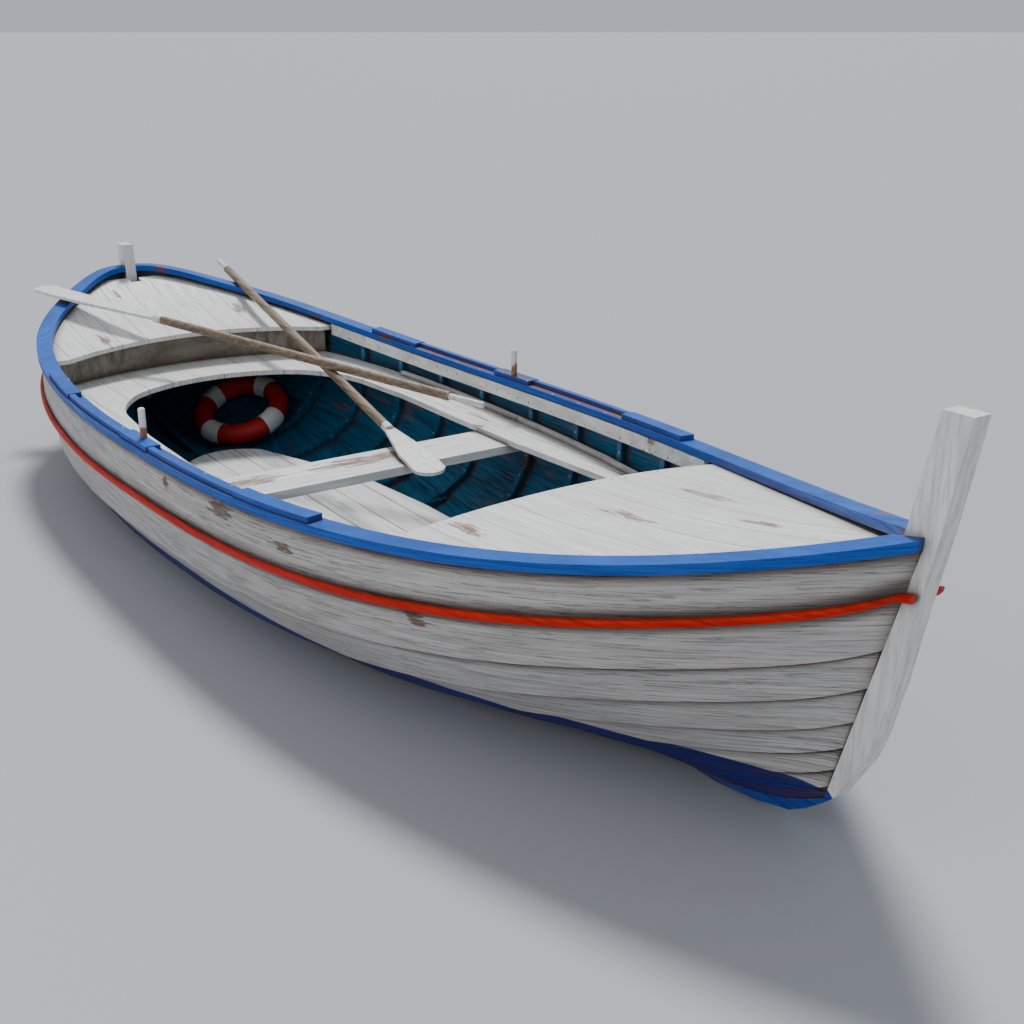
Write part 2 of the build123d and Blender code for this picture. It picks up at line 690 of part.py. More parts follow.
# Life ring lying against the port quarter, four bands round it
ring_normal = (
    cos(radians(RING_RISE)) * cos(radians(RING_TURN)),
    cos(radians(RING_RISE)) * sin(radians(RING_TURN)),
    sin(radians(RING_RISE)),
)
ring_level = (-sin(radians(RING_TURN)), cos(radians(RING_TURN)), 0)
ring_place = Plane(origin=RING_AT, x_dir=ring_level, z_dir=ring_normal)
parts["life_ring"] = (ring_place.location * Torus(RING_RADIUS, RING_TUBE)).solids()
band_sleeve = Torus(RING_RADIUS, RING_TUBE + GAP + BAND_THICK) - Torus(RING_RADIUS, RING_TUBE + GAP)
reach = RING_RADIUS + RING_TUBE + 20
spread = reach * sin(radians(BAND_HALF_ANGLE)) / cos(radians(BAND_HALF_ANGLE))
wedge_face = make_face(Polyline((0, 0), (reach, -spread), (reach, spread), close=True))
wedge = Pos(0, 0, -100) * extrude(wedge_face, 200)
bands = [ring_place.location * (band_sleeve & Rot(0, 0, angle) * wedge) for angle in BAND_ANGLES]
parts["ring_bands"] = [solid for band in bands for solid in band.solids()]

# Beam under the foredeck's aft edge
beam_faces = []
for x in (FOREDECK_EDGE_X + BEAM_FROM, FOREDECK_EDGE_X + BEAM_FROM + BEAM_WIDE):
    half, side_z, crown = foredeck_curve(x)
    top_z = side_z - DECK_THICK - 0.6
    beam_y = hull(at_x(x, 0.93), 0.93)[1] - 12
    edge_z = top_z + crown * (1 - (beam_y / half) ** 2)
    top = ThreePointArc((x, -beam_y, edge_z), (x, 0, top_z + crown), (x, beam_y, edge_z))
    low_z = edge_z - BEAM_DEEP
    under = ThreePointArc((x, beam_y, low_z), (x, 0, top_z + crown - BEAM_DEEP - 10), (x, -beam_y, low_z))
    port = Line((x, beam_y, edge_z), (x, beam_y, low_z))
    starboard = Line((x, -beam_y, low_z), (x, -beam_y, edge_z))
    beam_faces.append(Wire([top, port, under, starboard]))
parts["foredeck_beam"] = [Solid.make_loft(beam_faces, True)]

for name, solids in parts.items():
    moved = [solid.moved(Location((-BOX_CENTRE_X, 0, -FLOAT_Z))) for solid in solids]
    shape = moved[0] if len(moved) == 1 else Compound(children=moved)
    export_step(shape, f"parts/{name}.step")
    print(name, len(moved), round(sum(solid.volume for solid in moved) / 1e6, 3))
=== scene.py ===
import math

import bpy
from mathutils import Matrix, Vector


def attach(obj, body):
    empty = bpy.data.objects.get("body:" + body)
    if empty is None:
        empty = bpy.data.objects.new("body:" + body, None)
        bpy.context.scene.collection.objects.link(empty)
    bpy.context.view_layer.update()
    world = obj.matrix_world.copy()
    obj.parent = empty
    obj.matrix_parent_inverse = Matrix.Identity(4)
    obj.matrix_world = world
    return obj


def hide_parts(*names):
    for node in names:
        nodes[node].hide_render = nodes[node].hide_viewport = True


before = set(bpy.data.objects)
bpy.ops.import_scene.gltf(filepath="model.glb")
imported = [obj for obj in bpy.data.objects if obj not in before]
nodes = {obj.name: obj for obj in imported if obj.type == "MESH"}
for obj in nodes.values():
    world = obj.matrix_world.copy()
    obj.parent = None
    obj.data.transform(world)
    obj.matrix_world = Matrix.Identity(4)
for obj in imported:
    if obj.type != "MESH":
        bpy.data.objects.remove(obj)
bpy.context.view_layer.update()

# Places on the boat, metres, zero height at the water's surface
PAINT_EDGE_Z = 0.089
PAINT_EDGE_RISE = 0.026
PLANK_SHEER = 0.052
DECK_PLANK = 0.120
BENCH_PLANK = 0.118
STERN_ARC_X = -0.439
STERN_DECK_RADIUS = 1.166
FOREDECK_EDGE_X = 1.095
RIB_STATIONS = [-1.545, -1.265, -0.985, -0.685, -0.385, -0.045, 0.245, 0.515, 0.775, 1.035]

# Rail's outline amidships: half breadth at a datum, slope and curve from there; then its worn channel
RAIL_DATUM_X = -0.203
RAIL_HALF = 0.725
RAIL_SLOPE = 0.01684
RAIL_CURVE = 0.04897
CHANNEL_X = (-0.865, 0.535)
CHANNEL_INBOARD = (0.006, 0.024)

# Thole pins: heights between which rubbed wood gives way to paint
PIN_RUBBED_Z = (0.505, 0.555)

# Life ring: centre, lean and turn of its axis, and how far its bands stand on from the solids
RING_AT = Vector((-1.657, 0.235, 0.0904))
RING_RISE = math.radians(64.7)
RING_TURN = math.radians(-48.5)
BAND_TURN = math.radians(50)

# Nails: head radii, and where the rows lie
SMALL_NAIL = 0.0032
INWALE_NAIL = 0.0035
LARGE_NAIL = 0.0040
DECK_NAIL_ASIDE = 0.038
FOREDECK_NAIL_IN = 0.018
STERN_NAIL_IN = 0.02
BENCH_NAIL_Y = (0.54, 0.585, 0.63, 0.67)
RIB_NAIL_Z = (0.08, 0.15, 0.22, 0.29, 0.38)
INWALE_NAIL_Z = (0.425, 0.44, 0.455, 0.47, 0.49)
INWALE_NAIL_X = [-1.40 + k * 0.072 for k in range(34)]
RAIL_NAIL_X = [-1.05 + k * 0.165 for k in range(11)]
RAIL_NAIL_IN = 0.028

# Oars: length of the white grip, then each oar
GRIP_LONG = 0.150
OARS = {
    # name: grip end, blade end, blade length
    "oar_upper": ((-0.145, 0.557, 0.408), (-2.199, -0.441, 0.628), 0.722),
    "oar_lower": ((-2.345, 0.457, 0.644), (0.195, 0.140, 0.314), 0.430),
}

# Spots worn down to the wood: centre, half size
WORN_HULL = [
    ((0.44, -0.709, 0.435), (0.120, 0.06, 0.050)),
    ((0.77, -0.670, 0.420), (0.075, 0.06, 0.026)),
    ((1.25, -0.560, 0.365), (0.075, 0.08, 0.040)),
    ((0.07, -0.730, 0.417), (0.040, 0.06, 0.034)),
    ((-0.90, 0.700, 0.420), (0.110, 0.06, 0.040)),
    ((0.60, 0.690, 0.425), (0.080, 0.06, 0.035)),
]
WORN_DECK = [
    ((-1.65, -0.345, 0.48), (0.130, 0.045, 0.2)),
    ((-1.83, 0.328, 0.51), (0.130, 0.045, 0.2)),
    ((-2.12, -0.128, 0.58), (0.080, 0.025, 0.2)),
    ((1.20, -0.367, 0.54), (0.160, 0.045, 0.2)),
    ((1.42, -0.035, 0.57), (0.190, 0.035, 0.2)),
    ((1.39, 0.247, 0.57), (0.190, 0.040, 0.2)),
    ((1.73, 0.123, 0.62), (0.160, 0.030, 0.2)),
]
WORN_THWART = [
    ((-0.060, 0.04, 0.319), (0.090, 0.360, 0.05)),
    ((-0.060, -0.40, 0.319), (0.070, 0.160, 0.05)),
]
WORN_RAIL = [
    ((-2.25, 0.130, 0.640), (0.060, 0.060, 0.060)),
    ((-1.56, 0.590, 0.490), (0.060, 0.060, 0.030)),
    ((-1.08, 0.670, 0.475), (0.120, 0.050, 0.030)),
    ((2.20, 0.075, 0.760), (0.060, 0.060, 0.050)),
    ((1.98, 0.235, 0.690), (0.030, 0.040, 0.050)),
]

# Paints and woods, linear colour
WHITE = (0.86, 0.855, 0.83)
GREY_WHITE = (0.56, 0.55, 0.53)
HULL_WHITE = (0.60, 0.575, 0.555)
HULL_GREY = (0.37, 0.352, 0.335)
BARE = (0.30, 0.120, 0.050)
RUST = (0.13, 0.052, 0.018)
# Near black painted shade, laid deepest in corners and under the laps
PAINTED_SHADE = (0.030, 0.017, 0.009)
RAIL_BLUE = (0.000, 0.105, 0.500)
RAIL_DEEP = (0.000, 0.060, 0.320)
BOTTOM_BLUE = (0.000, 0.010, 0.200)
BOTTOM_DEEP = (0.000, 0.005, 0.100)
KEEL_BLUE = (0.000, 0.070, 0.340)
INSIDE_BLUE = (0.000, 0.150, 0.300)
INSIDE_DEEP = (0.000, 0.050, 0.110)
RED = (0.66, 0.010, 0.001)
RED_DEEP = (0.42, 0.006, 0.001)
RING_RED = (0.52, 0.006, 0.004)
OAR_WOOD = (0.30, 0.215, 0.135)
OAR_DARK = (0.11, 0.072, 0.042)
RISER_GREY = (0.31, 0.275, 0.225)
RISER_DARK = (0.14, 0.115, 0.085)
RING_DEEP = (0.26, 0.004, 0.003)
BAND_SOILED = (0.50, 0.45, 0.38)
NAIL = (0.55, 0.53, 0.49)
FLOOR_GREY = (0.40, 0.41, 0.43)
SKY = (0.82, 0.88, 0.96)
SKY_STRENGTH = 0.58

# Grain: how many times finer it is along x, y and z than along the wood
ALONG_HULL = (1.0, 1.0, 44.0)
ALONG_X = (1.0, 30.0, 5.0)
ALONG_Y = (30.0, 1.0, 5.0)
ALONG_Z = (12.0, 30.0, 1.0)
OAR_ACROSS = 30

# Wear and painted shade: how far soiling and painted shade reach out of a corner, and how wide an edge is
# rubbed
GRIME_AND_SHADE_REACH = 0.036
RUBBED_EDGE = 0.004

# A plank's outer face looks away from the middle line, and a little downward at the keel
OUTWARD_PER_Y = 4.0
OUTWARD_DOWN = -0.15

# Directions and the two sides of the boat
UP = (0.0, 0.0, 1.0)
DOWN = (0, 0, -1)
SIDES = (-1, 1)


# A material's node tree with short names for the steps the finishes share
class Finish:
    def __init__(self, name, sheer=0.0):
        self.material = bpy.data.materials.new(name)
        self.material.use_nodes = True
        tree = self.material.node_tree
        self.nodes = tree.nodes
        self.links = tree.links
        self.shader = self.nodes["Principled BSDF"]
        self.made = {}
        self.place = self.node("ShaderNodeTexCoord").outputs["Object"]
        self.normal = self.node("ShaderNodeNewGeometry").outputs["Normal"]
        split = self.node("ShaderNodeSeparateXYZ")
        self.feed(split.inputs[0], self.place)
        self.x, self.y, self.z = split.outputs
        run = self.node("ShaderNodeCombineXYZ")
        self.feed(run.inputs[0], self.x)
        self.feed(run.inputs[1], self.y)
        rise = self.math("MULTIPLY", self.math("MULTIPLY", self.x, self.x), sheer)
        self.feed(run.inputs[2], self.math("SUBTRACT", self.z, rise))
        self.run = run.outputs[0]

    def node(self, kind):
        return self.nodes.new(kind)

    def feed(self, socket, value):
        if isinstance(value, bpy.types.NodeSocket):
            self.links.new(value, socket)
        elif isinstance(value, tuple) and socket.type == "RGBA":
            socket.default_value = (*value, 1.0)
        else:
            socket.default_value = value

    def math(self, operation, *values):
        step = self.node("ShaderNodeMath")
        step.operation = operation
        for socket, value in zip(step.inputs, values):
            self.feed(socket, value)
        return step.outputs[0]

    def vector(self, operation, *values):
        step = self.node("ShaderNodeVectorMath")
        step.operation = operation
        for socket, value in zip(step.inputs, values):
            self.feed(socket, value)
        return step.outputs["Value" if operation in ("DOT_PRODUCT", "LENGTH") else "Vector"]

    def noise(self, scale, stretch=(1, 1, 1), detail=4.0, roughness=0.55):
        key = (scale, stretch, detail, roughness)
        if key not in self.made:
            step = self.node("ShaderNodeTexNoise")
            self.feed(step.inputs["Vector"], self.vector("MULTIPLY", self.run, stretch))
            self.feed(step.inputs["Scale"], scale)
            self.feed(step.inputs["Detail"], detail)
            self.feed(step.inputs["Roughness"], roughness)
            self.made[key] = step.outputs["Fac"]
        return self.made[key]

    def span(self, value, low, high, to_low=0.0, to_high=1.0):
        step = self.node("ShaderNodeMapRange")
        for socket, number in zip(step.inputs, (value, low, high, to_low, to_high)):
            self.feed(socket, number)
        return step.outputs[0]

    def mix(self, share, first, second):
        step = self.node("ShaderNodeMix")
        step.data_type = "RGBA"
        self.feed(step.inputs[0], share)
        self.feed(step.inputs[6], first)
        self.feed(step.inputs[7], second)
        return step.outputs[2]

    def both(self, a, b):
        return self.math("MULTIPLY", a, b)

    def either(self, a, b):
        return self.math("MAXIMUM", a, b)

    def between(self, value, low, high):
        return self.both(self.math("GREATER_THAN", value, low), self.math("LESS_THAN", value, high))

    # High in corners and under the laps: soiling, and painted shade where shade falls there
    def grime_and_shade_mask(self, full=0.58, none=0.96, samples=4):
        if "grime_and_shade_mask" not in self.made:
            step = self.node("ShaderNodeAmbientOcclusion")
            step.samples = samples
            self.feed(step.inputs["Distance"], GRIME_AND_SHADE_REACH)
            self.made["grime_and_shade_mask"] = self.span(step.outputs["AO"], full, none, 1.0, 0.0)
        return self.made["grime_and_shade_mask"]

    # High along sharp edges, where paint rubs off
    def edge(self):
        if "edge" not in self.made:
            step = self.node("ShaderNodeBevel")
            step.samples = 4
            self.feed(step.inputs["Radius"], RUBBED_EDGE)
            facing = self.vector("DOT_PRODUCT", step.outputs[0], self.normal)
            self.made["edge"] = self.span(facing, 0.985, 0.80)
        return self.made["edge"]

    # Ragged patches round the centres of a table
    def spots(self, table, grain_run):
        ragged = self.noise(9.0, tuple(max(1.0, v * 0.3) for v in grain_run), 6.0, 0.65)
        worn = 0.0
        for centre, half in table:
            away = self.vector("DIVIDE", self.vector("SUBTRACT", self.place, centre), half)
            near = self.span(self.vector("LENGTH", away), 0.2, 1.2, 0.34, -0.1)
            patch = self.span(self.math("ADD", ragged, near), 0.70, 0.75)
            worn = self.either(worn, patch)
        return worn

    # Thin line every pitch along one coordinate, such as the joints between planks
    def joints(self, coordinate, pitch, offset, half_width):
        wander = self.span(self.noise(3.0, detail=2.0), 0.3, 0.7, -0.0008, 0.0008)
        shifted = self.math("ADD", self.math("ADD", coordinate, offset), wander)
        nearest = self.math("PINGPONG", shifted, pitch / 2)
        return self.span(nearest, 0.0, half_width, 1.0, 0.0)

    # One number for each plank, so that neighbours differ a little
    def plank_tone(self, coordinate, pitch, offset):
        number = self.math("FLOOR", self.math("DIVIDE", self.math("ADD", coordinate, offset), pitch))
        step = self.node("ShaderNodeTexWhiteNoise")
        step.noise_dimensions = "1D"
        self.feed(step.inputs["W"], number)
        return step.outputs["Value"]

    def finish(self, colour, roughness, height, depth, strength=0.7, shine=0.5):
        self.feed(self.shader.inputs["Base Color"], colour)
        self.feed(self.shader.inputs["Specular IOR Level"], shine)
        self.feed(self.shader.inputs["Roughness"], roughness)
        bump = self.node("ShaderNodeBump")
        self.feed(bump.inputs["Strength"], strength)
        self.feed(bump.inputs["Distance"], depth)
        self.feed(bump.inputs["Height"], height)
        self.feed(self.shader.inputs["Normal"], bump.outputs[0])
        return self.material


# Old paint on wood: grain, soiling and painted shade in the corners and under the laps, rubbed edges and
# flakes down to the wood
def paint_layers(f, paint, shade, grain_run, flakes, grime_and_shade, edge_wear, bare=BARE, spots=()):
    fine = f.noise(3.5, grain_run, 5.0, 0.62)
    broad = f.noise(1.6, detail=3.0)
    cracks = f.span(f.noise(4.0, tuple(v * 1.7 for v in grain_run), 3.0), 0.58, 0.63)
    colour = f.mix(f.span(fine, 0.38, 0.66), paint, shade)
    colour = f.mix(f.both(f.span(broad, 0.45, 0.75), 0.40), colour, shade)
    colour = f.mix(f.both(cracks, 0.45), colour, shade)
    streaks = f.span(f.noise(9.0, tuple(v * 1.6 for v in grain_run), 5.0, 0.6), 0.42, 0.52)
    patch = f.noise(2.3, tuple(max(1.0, v * 0.25) for v in grain_run), 4.0)
    worn = f.both(f.span(patch, flakes, flakes + 0.05), streaks)
    if edge_wear:
        edge = f.both(f.edge(), f.span(f.noise(14.0, detail=4.0), 0.46, 0.60))
        worn = f.either(worn, f.both(edge, edge_wear))
    if spots:
        worn = f.either(worn, f.both(f.spots(spots, grain_run), f.span(streaks, 0.0, 1.0, 0.35, 1.0)))
    colour = f.mix(worn, colour, f.mix(fine, bare, RUST))
    # Corners and laps: rusty soiling mixed with painted shade, then near black painted shade where the
    # occlusion is deepest
    soiled_and_shaded = f.both(f.grime_and_shade_mask(), f.span(broad, 0.20, 0.55, 0.35, 1.0))
    colour = f.mix(f.both(soiled_and_shaded, grime_and_shade), colour, RUST)
    colour = f.mix(f.both(f.span(f.grime_and_shade_mask(), 0.55, 1.0), grime_and_shade), colour, PAINTED_SHADE)
    height = f.math("SUBTRACT", f.both(fine, 0.8), f.both(worn, 0.6))
    height = f.math("SUBTRACT", height, f.both(cracks, 0.35))
    roughness = f.span(fine, 0.3, 0.8, 0.34, 0.62)
    return colour, roughness, height


# One paint all over a piece
def painted(name, paint, shade, grain_run, flakes, grime_and_shade, edge_wear, spots=(), shine=0.5):
    f = Finish(name)
    layers = paint_layers(f, paint, shade, grain_run, flakes, grime_and_shade, edge_wear, spots=spots)
    return f.finish(*layers, depth=0.004, shine=shine)


# White planks laid side by side, with soiled joints and a tone of their own
def planked(name, pitch, flakes, line_share, line_half, spots=()):
    f = Finish(name)
    layers = paint_layers(f, WHITE, GREY_WHITE, ALONG_X, flakes, grime_and_shade=0.7, edge_wear=0.7, spots=spots)
    colour, roughness, height = layers
    tone = f.plank_tone(f.y, pitch, pitch / 2)
    colour = f.mix(f.both(tone, 0.22), colour, GREY_WHITE)
    faded = f.span(f.noise(5.0), 0.30, 0.60, 0.35, 1.0)
    line = f.both(f.joints(f.y, pitch, pitch / 2, line_half), faded)
    colour = f.mix(f.both(line, line_share), colour, RUST)
    return f.finish(colour, roughness, f.math("SUBTRACT", height, line), depth=0.004, strength=0.5)


# Topsides white, bottom blue below the paint's edge, inner faces dark blue
def planking():
    f = Finish("planking", PLANK_SHEER)
    # A wider, firmer mask on the hull, so lines of painted shade, with some soiling, run under each lap
    f.grime_and_shade_mask(full=0.84, none=0.992, samples=8)
    white, roughness, height = paint_layers(
        f, HULL_WHITE, HULL_GREY, ALONG_HULL, 0.74, grime_and_shade=1.0, edge_wear=0.0, spots=WORN_HULL
    )
    weathered = f.both(f.span(f.noise(1.1, (1, 1, 6), 4.0), 0.42, 0.70), 0.35)
    white = f.mix(weathered, white, HULL_GREY)
    blue, _, _ = paint_layers(f, BOTTOM_BLUE, BOTTOM_DEEP, ALONG_HULL, 0.74, grime_and_shade=0.5, edge_wear=0.0)
    edge_z = f.math("ADD", f.both(f.x, PAINT_EDGE_RISE), PAINT_EDGE_Z)
    wobble = f.span(f.noise(2.0, (1, 1, 0), 2.0), 0.3, 0.7, -0.003, 0.003)
    over = f.math("SUBTRACT", f.math("ADD", f.z, wobble), edge_z)
    outer = f.mix(f.span(over, -0.001, 0.001, 1.0, 0.0), white, blue)
    inner, _, _ = paint_layers(f, INSIDE_BLUE, INSIDE_DEEP, ALONG_HULL, 0.62, grime_and_shade=0.4, edge_wear=0.0)
    away = f.node("ShaderNodeCombineXYZ")
    f.feed(away.inputs[1], f.both(f.y, OUTWARD_PER_Y))
    f.feed(away.inputs[2], OUTWARD_DOWN)
    outward = f.vector("DOT_PRODUCT", f.normal, away.outputs[0])
    inside = f.math("LESS_THAN", outward, 0.0)
    return f.finish(f.mix(inside, outer, inner), roughness, height, depth=0.006, strength=0.9)


# Blue keel, dark blue on top where it shows inside the boat
def keel_paint():
    f = Finish("keel_paint")
    strip, roughness, height = paint_layers(
        f, KEEL_BLUE, BOTTOM_BLUE, ALONG_HULL, 0.70, grime_and_shade=0.4, edge_wear=0.4
    )
    inner, _, _ = paint_layers(f, INSIDE_BLUE, INSIDE_DEEP, ALONG_X, 0.60, grime_and_shade=0.3, edge_wear=0.5)
    upward = f.math("GREATER_THAN", f.vector("DOT_PRODUCT", f.normal, UP), 0.5)
    aft = f.math("LESS_THAN", f.x, FOREDECK_EDGE_X)
    return f.finish(f.mix(f.both(upward, aft), strip, inner), roughness, height, depth=0.004)


# Half breadth of the rail amidships, from the place along the boat
def rail_breadth(x):
    u = x - RAIL_DATUM_X
    return RAIL_HALF - RAIL_SLOPE * u - RAIL_CURVE * u * u


# Blue rail; the port channel between strip and inner edge is worn to the wood
def rail_paint():
    f = Finish("rail_paint", PLANK_SHEER)
    blue, roughness, height = paint_layers(
        f, RAIL_BLUE, RAIL_DEEP, ALONG_HULL, 0.72, grime_and_shade=0.5, edge_wear=0.5, spots=WORN_RAIL
    )
    u = f.math("SUBTRACT", f.x, RAIL_DATUM_X)
    curve = f.math("SUBTRACT", RAIL_HALF, f.both(u, RAIL_SLOPE))
    curve = f.math("SUBTRACT", curve, f.both(f.both(u, u), RAIL_CURVE))
    channel = f.between(f.math("SUBTRACT", curve, f.y), *CHANNEL_INBOARD)
    reach = f.between(f.x, *CHANNEL_X)
    upward = f.math("GREATER_THAN", f.vector("DOT_PRODUCT", f.normal, UP), 0.8)
    patchy = f.span(f.noise(5.0, (1, 3, 3), 5.0), 0.40, 0.50)
    worn = f.both(f.both(channel, reach), f.both(upward, patchy))
    wood = f.mix(f.noise(3.5, ALONG_X, 5.0, 0.62), BARE, RUST)
    return f.finish(f.mix(worn, blue, wood), roughness, height, depth=0.003, shine=0.22)


# Weathered shaft with white grip and blade
def oar_finish(name, grip_end, blade_end, blade_long):
    f = Finish(name)
    run = Vector(blade_end) - Vector(grip_end)
    long = run.length
    along = f.vector("DOT_PRODUCT", f.vector("SUBTRACT", f.place, grip_end), tuple(run.normalized()))
    grain_run = tuple(OAR_ACROSS - (OAR_ACROSS - 1) * abs(v) for v in run.normalized())
    wood, roughness, height = paint_layers(
        f, OAR_WOOD, OAR_DARK, grain_run, 0.70, grime_and_shade=0.4, edge_wear=0.3, bare=OAR_DARK
    )
    white, _, _ = paint_layers(f, WHITE, GREY_WHITE, grain_run, 0.68, grime_and_shade=0.4, edge_wear=0.5)
    ragged = f.math("ADD", along, f.span(f.noise(30.0), 0.3, 0.7, -0.004, 0.004))
    blade = f.span(ragged, long - blade_long - 0.002, long - blade_long + 0.002)
    grip = f.span(ragged, GRIP_LONG - 0.002, GRIP_LONG + 0.002, 1.0, 0.0)
    return f.finish(f.mix(f.either(blade, grip), wood, white), roughness, height, depth=0.003)


# Thole pins, white and rubbed to the wood near the pad
def pin_finish():
    f = Finish("pin_white")
    white, roughness, height = paint_layers(f, WHITE, GREY_WHITE, ALONG_Z, 0.64, grime_and_shade=0.8, edge_wear=0.6)
    low = f.span(f.z, *PIN_RUBBED_Z, 0.30, -0.12)
    rubbed = f.span(f.math("ADD", f.noise(25.0, (1, 1, 0.4), 5.0), low), 0.58, 0.66)
    return f.finish(f.mix(rubbed, white, BARE), roughness, height, depth=0.003)


# Woven cover of the life ring, with painted shade in its corners
def cloth_finish(name, colour, shade, weave):
    f = Finish(name)
    threads = f.noise(weave, detail=2.0)
    broad = f.noise(6.0, detail=4.0)
    tone = f.mix(f.span(broad, 0.40, 0.75), colour, shade)
    # Painted shade where the ring lies close to other surfaces
    tone = f.mix(f.both(f.grime_and_shade_mask(), 0.5), tone, PAINTED_SHADE)
    return f.finish(tone, f.span(broad, 0.3, 0.7, 0.50, 0.75), threads, depth=0.0012)


# Dull metal with rust
def nail_finish():
    f = Finish("nail_heads")
    broad = f.noise(60.0, detail=3.0)
    colour = f.mix(f.span(broad, 0.45, 0.6), NAIL, RUST)
    return f.finish(colour, f.span(broad, 0.3, 0.7, 0.45, 0.7), broad, depth=0.0005)


finishes = {
    "planking": planking(),
    "keel": keel_paint(),
    "rail": rail_paint(),
    "pin": pin_finish(),
    "post": painted("post_white", WHITE, GREY_WHITE, ALONG_Z, 0.72, 0.5, 0.35),
    "red": painted("moulding_red", RED, RED_DEEP, ALONG_HULL, 0.76, 0.5, 0.3, shine=0.2),
    "white": painted("trim_white", WHITE, GREY_WHITE, ALONG_X, 0.63, 0.8, 0.9),
    "inside": painted("inside_blue", INSIDE_BLUE, INSIDE_DEEP, ALONG_X, 0.62, 0.3, 1.0, shine=0.3),
    "deck": planked("deck_planks", DECK_PLANK, 0.70, 0.45, 0.0018, WORN_DECK),
    "bench": planked("bench_planks", BENCH_PLANK, 0.68, 0.8, 0.0022),
    "floor": planked("floor_planks", DECK_PLANK, 0.68, 1.0, 0.0045),
    "thwart": painted("thwart_white", WHITE, GREY_WHITE, ALONG_Y, 0.68, 0.7, 0.9, WORN_THWART),
    "riser": painted("riser_grey", RISER_GREY, RISER_DARK, ALONG_Y, 0.70, 0.8, 0.5),
    "ring": cloth_finish("ring_red", RING_RED, RING_DEEP, 160.0),
    "band": cloth_finish("ring_band", WHITE, BAND_SOILED, 220.0),
    "nail": nail_finish(),
}
for name, (grip_end, blade_end, blade_long) in OARS.items():
    finishes[name] = oar_finish(name, grip_end, blade_end, blade_long)

finish_of = {
    "keel": "keel",
    "stem": "post",
    "sternpost": "post",
    "rail": "rail",
    "rail_strip": "rail",
    "rail_pads": "rail",
    "thole_pin_port": "pin",
    "thole_pin_starboard": "pin",
    "inwale": "white",
    "rubbing_moulding": "red",
    "ribs": "inside",
    "stern_deck": "deck",
    "foredeck": "deck",
    "stern_riser": "riser",
    "stern_bench": "bench",
    "side_benches": "white",
    "bench_batten": "white",
    "bench_stringer": "inside",
    "thwart": "thwart",
    "floorboards": "floor",
    "floor_timbers": "inside",
    "foredeck_beam": "white",
    "oar_upper": "oar_upper",
    "oar_lower": "oar_lower",
    "life_ring": "ring",
    "ring_bands": "band",
}
for name, piece in nodes.items():
    piece.data.materials.clear()
    piece.data.materials.append(finishes[finish_of.get(name, "planking")])


# White bands on the ring, a part of a turn further round than the solids have them
ring_axis = Vector((
    math.cos(RING_RISE) * math.cos(RING_TURN),
    math.cos(RING_RISE) * math.sin(RING_TURN),
    math.sin(RING_RISE),
))
band_mesh = nodes["ring_bands"].data.copy()
band_mesh.transform(
    Matrix.Translation(RING_AT) @ Matrix.Rotation(BAND_TURN, 4, ring_axis) @ Matrix.Translation(-RING_AT)
)
bands = bpy.data.objects.new("ring_bands_turned", band_mesh)
bpy.context.collection.objects.link(bands)
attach(bands, "root")
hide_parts("ring_bands")


# Where a straight line first meets a piece
def hit(piece_name, start, direction):
    found, point, normal, _ = nodes[piece_name].ray_cast(Vector(start), Vector(direction))
    return (point, normal) if found else None


# Nail heads: low domes set on the pieces they hold
def nail_heads(name, spots, radius):
    points = []
    faces = []
    rings = [(1.0, 0.0), (0.8, 0.28), (0.35, 0.42)]
    sides = 8
    for point, normal in [spot for spot in spots if spot]:
        turn = normal.to_track_quat("Z", "Y")
        first = len(points)
        for wide, high in rings:
            for k in range(sides):
                angle = 2 * math.pi * k / sides
                local = Vector((wide * math.cos(angle), wide * math.sin(angle), high)) * radius
                points.append(point + turn @ local)
        for level in range(len(rings) - 1):
            for k in range(sides):
                a = first + level * sides + k
                b = first + level * sides + (k + 1) % sides
                faces.append((a, b, b + sides, a + sides))
        top = first + (len(rings) - 1) * sides
        faces.append(tuple(top + k for k in range(sides)))
    mesh = bpy.data.meshes.new(name)
    mesh.from_pydata(points, [], faces)
    for face in mesh.polygons:
        face.use_smooth = True
    piece = bpy.data.objects.new(name, mesh)
    bpy.context.collection.objects.link(piece)
    mesh.materials.append(finishes["nail"])
    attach(piece, "root")


deck_spots = []
for k in range(-4, 5):
    for side in SIDES:
        y = k * DECK_PLANK + side * DECK_NAIL_ASIDE
        lean = math.sqrt((STERN_DECK_RADIUS + STERN_NAIL_IN) ** 2 - y * y)
        deck_spots.append(hit("foredeck", (FOREDECK_EDGE_X + FOREDECK_NAIL_IN, y, 1.5), DOWN))
        deck_spots.append(hit("stern_deck", (STERN_ARC_X - lean, y, 1.5), DOWN))
nail_heads("deck_nails", deck_spots, SMALL_NAIL)

bench_spots = []
for x in RIB_STATIONS[2:9]:
    for side in SIDES:
        for y in BENCH_NAIL_Y:
            bench_spots.append(hit("side_benches", (x, side * y, 1.0), DOWN))
nail_heads("bench_nails", bench_spots, SMALL_NAIL)

rib_spots = []
for x in RIB_STATIONS:
    for side in SIDES:
        for z in RIB_NAIL_Z:
            rib_spots.append(hit("ribs", (x, 0.0, z), (0, side, 0)))
nail_heads("rib_nails", rib_spots, LARGE_NAIL)

inwale_spots = []
for x in INWALE_NAIL_X:
    for side in SIDES:
        tries = [hit("inwale", (x, 0.0, z), (0, side, 0)) for z in INWALE_NAIL_Z]
        level = [spot for spot in tries if spot and abs(spot[1].z) < 0.5]
        inwale_spots.extend(level[:1])
nail_heads("inwale_nails", inwale_spots, INWALE_NAIL)

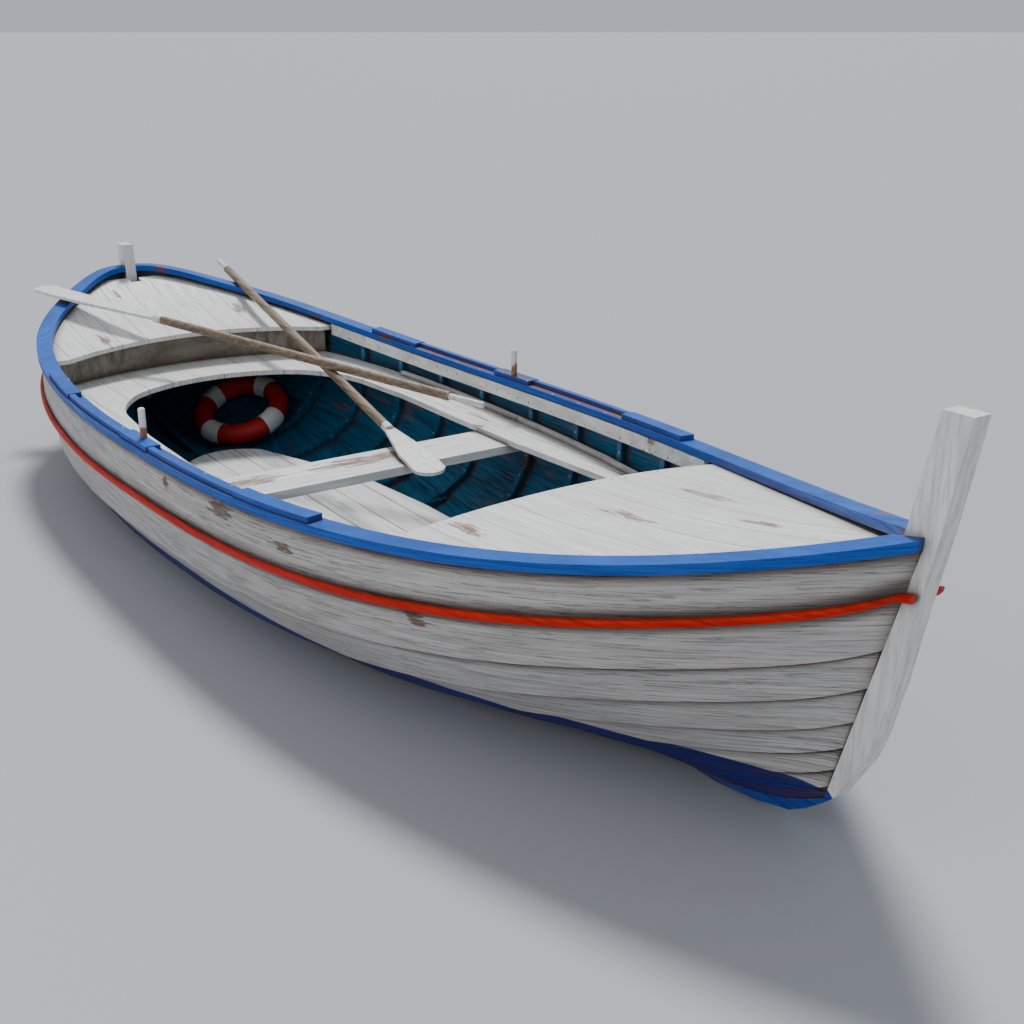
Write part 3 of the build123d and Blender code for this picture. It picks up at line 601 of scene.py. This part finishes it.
rail_spots = []
for x in RAIL_NAIL_X:
    for side in SIDES:
        y = side * (rail_breadth(x) - RAIL_NAIL_IN)
        rail_spots.append(hit("rail_pads", (x, y, 1.0), DOWN) or hit("rail", (x, y, 1.0), DOWN))
nail_heads("rail_nails", rail_spots, LARGE_NAIL)

# Studio: a wide pale floor at the water's surface, open where the hull stands in it
FLOOR_POINTS = 480
FLOOR_REACH = [3.0, 7.0, 30.0, 400.0]
FLOOR_INTO_PLANK = 0.005
OUTSIDE = 4.0
hull_nodes = [f"strake_{k}" for k in range(1, 9)] + ["keel", "stem", "sternpost"]


# Distance from the middle of the boat to the hull's outer face at the water's surface
def hull_reach(angle):
    out = Vector((math.cos(angle), math.sin(angle), 0.0))
    hits = [hit(name, out * OUTSIDE, -out) for name in hull_nodes]
    return max(spot[0].dot(out) for spot in hits if spot) - FLOOR_INTO_PLANK


studio_points = []
for k in range(FLOOR_POINTS):
    angle = 2 * math.pi * k / FLOOR_POINTS
    inner = hull_reach(angle)
    for reach in [inner] + FLOOR_REACH:
        studio_points.append((reach * math.cos(angle), reach * math.sin(angle), 0.0))
levels = 1 + len(FLOOR_REACH)
studio_faces = []
for k in range(FLOOR_POINTS):
    for level in range(levels - 1):
        a = k * levels + level
        b = (k + 1) % FLOOR_POINTS * levels + level
        studio_faces.append((a, a + 1, b + 1, b))
studio_mesh = bpy.data.meshes.new("studio_floor")
studio_mesh.from_pydata(studio_points, [], studio_faces)
floor = bpy.data.objects.new("studio_floor", studio_mesh)
bpy.context.collection.objects.link(floor)
floor_paint = bpy.data.materials.new("studio_floor")
floor_paint.use_nodes = True
floor_shader = floor_paint.node_tree.nodes["Principled BSDF"]
floor_shader.inputs["Base Color"].default_value = (*FLOOR_GREY, 1.0)
floor_shader.inputs["Roughness"].default_value = 0.9
studio_mesh.materials.append(floor_paint)

world = bpy.data.worlds.new("studio")
world.use_nodes = True
sky = world.node_tree.nodes["Background"]
sky.inputs["Color"].default_value = (*SKY, 1.0)
sky.inputs["Strength"].default_value = SKY_STRENGTH
bpy.context.scene.world = world

LAMPS = [
    # name, kind, place, aims at, size or spread, strength
    ("key", "SUN", (-3.2, 2.4, 6.5), (0, 0, 0.3), 0.20, 3.7),
    ("fill", "AREA", (1.0, -7.0, 3.4), (0.3, 0, 0.3), 4.0, 90),
    ("bow_fill", "AREA", (3.0, -6.5, 2.0), (1.6, 0, 0.5), 2.0, 20),
]
for name, kind, place, target, size, strength in LAMPS:
    data = bpy.data.lights.new(name, kind)
    data.energy = strength
    if kind == "SUN":
        data.angle = size
    else:
        data.size = size
    lamp = bpy.data.objects.new(name, data)
    lamp.location = place
    lamp.rotation_euler = (Vector(target) - Vector(place)).to_track_quat("-Z", "Y").to_euler()
    bpy.context.collection.objects.link(lamp)

CAMERA_AT = (3.8026, -1.9987, 1.7137)
CAMERA_TURN = 55.81
CAMERA_DOWN = 20.125
LENS = 46.65
camera_data = bpy.data.cameras.new("camera")
camera_data.lens = LENS
camera_data.sensor_width = 36.0
camera = bpy.data.objects.new("camera", camera_data)
camera.location = CAMERA_AT
camera.rotation_euler = (math.radians(90 - CAMERA_DOWN), 0, math.radians(CAMERA_TURN))
bpy.context.collection.objects.link(camera)
bpy.context.scene.camera = camera
